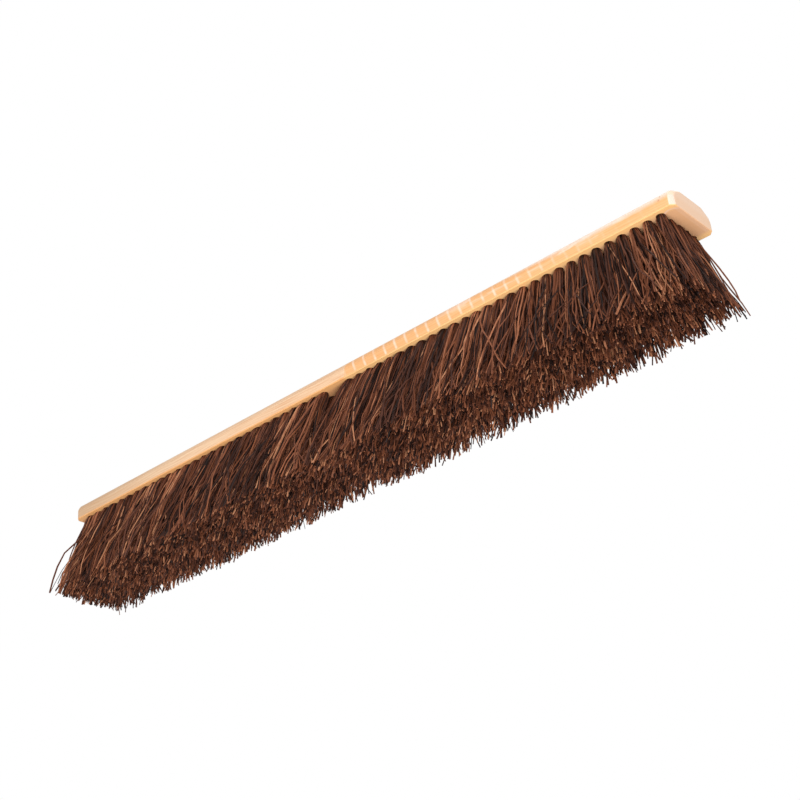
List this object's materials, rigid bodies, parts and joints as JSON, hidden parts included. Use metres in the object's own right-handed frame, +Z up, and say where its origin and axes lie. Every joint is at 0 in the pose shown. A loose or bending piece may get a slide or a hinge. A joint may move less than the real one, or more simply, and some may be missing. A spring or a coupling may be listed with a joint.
{
  "type": "push broom head",
  "caption": "Wide push broom head: a long hardwood block with rows of stiff dark brown palmyra fibre tufts and a sloped, threaded handle hole.",
  "frame": {"origin": "on the floor under the middle of the block: the trimmed fibre tips lie on Z = 0", "axes": "+Z up, from the fibre tips to the block's flat top; +X along the block; the handle slopes up and towards -Y"},
  "size_m": [0.9572, 0.0991, 0.118],
  "materials": {
    "hardwood": "sanded, unvarnished blond hardwood",
    "palmyra_fibre": "stiff, uneven dark brown plant fibre, trimmed blunt",
    "staple_wire": "bare drawn wire"
  },
  "bodies": {
    "root": {"wood_block": "hardwood", "tufts_front_left": "palmyra_fibre", "tufts_front_right": "palmyra_fibre", "tufts_front_mid_left": "palmyra_fibre", "tufts_front_mid_right": "palmyra_fibre", "tufts_middle_left": "palmyra_fibre", "tufts_middle_right": "palmyra_fibre", "tufts_back_mid_left": "palmyra_fibre", "tufts_back_mid_right": "palmyra_fibre", "tufts_back_left": "palmyra_fibre", "tufts_back_right": "palmyra_fibre", "staples_front_left": "staple_wire", "staples_front_right": "staple_wire", "staples_front_mid_left": "staple_wire", "staples_front_mid_right": "staple_wire", "staples_middle_left": "staple_wire", "staples_middle_right": "staple_wire", "staples_back_mid_left": "staple_wire", "staples_back_mid_right": "staple_wire", "staples_back_left": "staple_wire", "staples_back_right": "staple_wire"}
  },
  "joints": []
}
